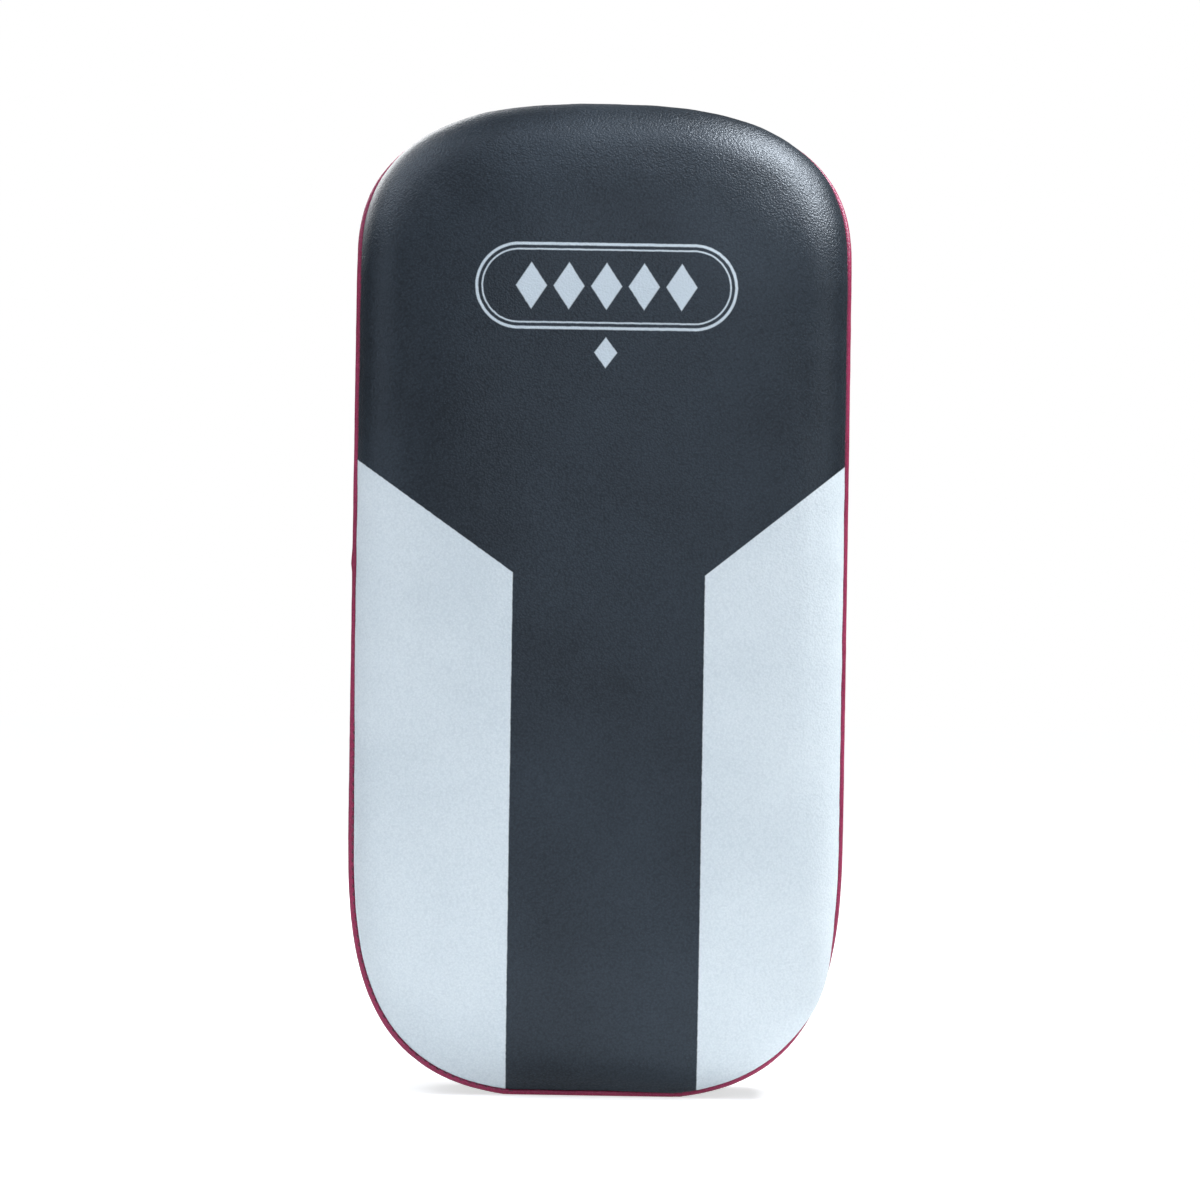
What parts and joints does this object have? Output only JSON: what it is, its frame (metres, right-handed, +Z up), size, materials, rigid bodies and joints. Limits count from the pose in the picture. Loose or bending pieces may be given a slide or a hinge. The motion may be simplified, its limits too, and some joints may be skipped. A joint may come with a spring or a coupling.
{
  "type": "thai pad",
  "caption": "Stuffed kick pad for martial-arts training: a rounded padded block with a domed strike face, a hand grip and two forearm straps on its back.",
  "frame": {"origin": "in the plane of the flat bottom end, midway between the sides and midway in depth between the strike face and the straps", "axes": "+Z up the pad's length to the end above the hand grip, -Y out of the strike face, +Y out of the back with the grip and straps, +X to the right of someone who looks at the strike face"},
  "size_m": [0.2, 0.1751, 0.3994],
  "materials": {
    "printed_leather": "satin",
    "black_leather": "satin",
    "crimson_piping": "satin",
    "dense_foam": "matte",
    "soft_foam": "matte",
    "leatherboard": "matte",
    "webbing": "matte",
    "lining": "matte",
    "hook_and_loop": "matte",
    "nickel": "polished"
  },
  "bodies": {
    "pad": {"strike_panel": "printed_leather", "front_piping": "crimson_piping", "side_gusset": "black_leather", "back_piping": "crimson_piping", "back_panel": "black_leather", "impact_foam": "dense_foam", "core_foam": "soft_foam", "rear_foam": "dense_foam", "back_board": "leatherboard", "vent_eyelets": "nickel", "knuckle_pad": "black_leather", "forearm_pad": "black_leather", "handle_webbing": "webbing", "handle_foam": "dense_foam", "handle_cover": "black_leather", "handle_collars": "webbing", "handle_patches": "black_leather", "handle_rivets": "nickel", "upper_strap": "black_leather", "upper_lining": "lining", "upper_loop_patch": "hook_and_loop", "upper_ring_tab": "webbing", "upper_anchor_patch": "black_leather", "upper_rivets": "nickel", "lower_strap": "black_leather", "lower_lining": "lining", "lower_loop_patch": "hook_and_loop", "lower_ring_tab": "webbing", "lower_anchor_patch": "black_leather", "lower_rivets": "nickel"},
    "upper_ring_body": {"upper_ring": "nickel"},
    "upper_tail_body": {"upper_tail": "black_leather", "upper_hook_patch": "hook_and_loop"},
    "lower_ring_body": {"lower_ring": "nickel"},
    "lower_tail_body": {"lower_tail": "black_leather", "lower_hook_patch": "hook_and_loop"}
  },
  "joints": [
    {"name": "upper_ring_rock", "type": "hinge", "parent": "pad", "child": "upper_ring_body", "pos_m": [0.066, 0.0068, 0.205], "axis": [0, 0, 1], "range_deg": [-3, 3]},
    {"name": "upper_tail_peel", "type": "hinge", "parent": "pad", "child": "upper_tail_body", "pos_m": [0.06728, 0.02982, 0.205], "axis": [0, 0, -1], "range_deg": [0, 130]},
    {"name": "lower_ring_rock", "type": "hinge", "parent": "pad", "child": "lower_ring_body", "pos_m": [0.066, 0.0068, 0.1], "axis": [0, 0, 1], "range_deg": [-3, 3]},
    {"name": "lower_tail_peel", "type": "hinge", "parent": "pad", "child": "lower_tail_body", "pos_m": [0.06728, 0.02982, 0.1], "axis": [0, 0, -1], "range_deg": [0, 130]}
  ]
}
